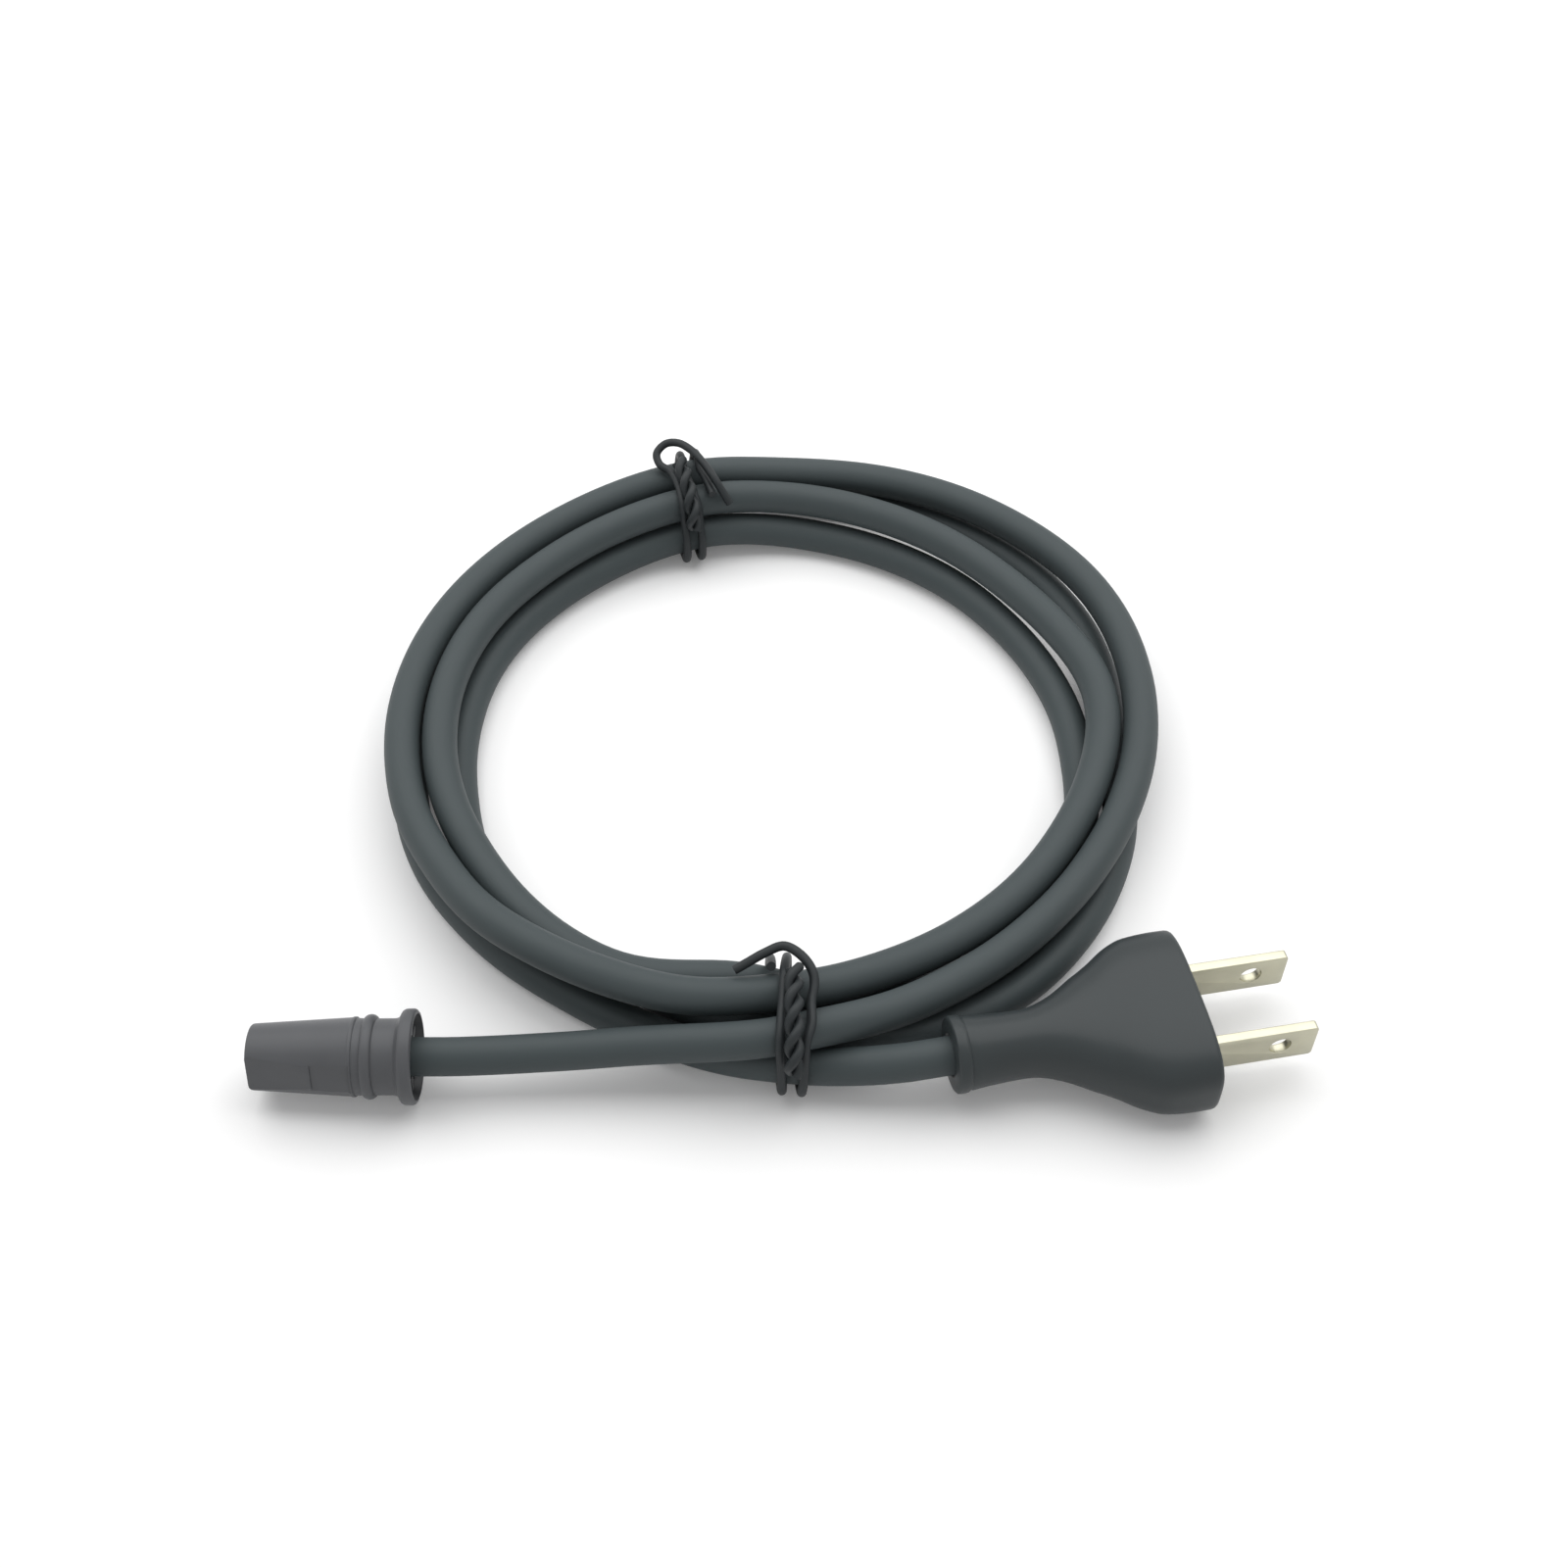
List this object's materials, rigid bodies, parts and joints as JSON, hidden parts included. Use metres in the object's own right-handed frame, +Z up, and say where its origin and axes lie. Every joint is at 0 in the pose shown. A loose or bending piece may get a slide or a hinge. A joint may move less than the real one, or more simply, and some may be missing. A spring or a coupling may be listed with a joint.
{
  "type": "power cord",
  "caption": "Power cord with a moulded flat-blade plug and a small round appliance connector, its cable wound into a coil that twist ties hold together.",
  "frame": {"origin": "centre of the part's outline seen from above, on the floor that the coil, plug and connector lie on", "axes": "+X from the connector towards the plug, +Y from the plug and connector towards the coil's far side, +Z up"},
  "size_m": [0.152, 0.1346, 0.0182],
  "materials": {
    "cord_sheath": "satin PVC, dark blue-grey",
    "plug_moulding": "satin PVC, dark grey",
    "connector_moulding": "satin PVC, grey",
    "bridge_plastic": "matt, dark grey",
    "insert_plastic": "matt, near black",
    "blade_metal": "nickel-plated, satin",
    "contact_brass": "bright",
    "copper_strands": "bare copper",
    "insulation_brown": "PVC, brown",
    "insulation_blue": "PVC, blue",
    "twist_tie": "satin, dark grey"
  },
  "bodies": {
    "root": {"cord": "cord_sheath", "plug_housing": "plug_moulding", "plug_bridge": "bridge_plastic", "plug_blade_line": "blade_metal", "plug_blade_neutral": "blade_metal", "plug_core_line": "insulation_brown", "plug_core_neutral": "insulation_blue", "plug_strands_line": "copper_strands", "plug_strands_neutral": "copper_strands", "connector_housing": "connector_moulding", "connector_insert": "insert_plastic", "connector_contact_line": "contact_brass", "connector_contact_neutral": "contact_brass", "connector_core_line": "insulation_brown", "connector_core_neutral": "insulation_blue", "connector_strands_line": "copper_strands", "connector_strands_neutral": "copper_strands", "tie_front": "twist_tie", "tie_rear": "twist_tie"}
  },
  "joints": []
}
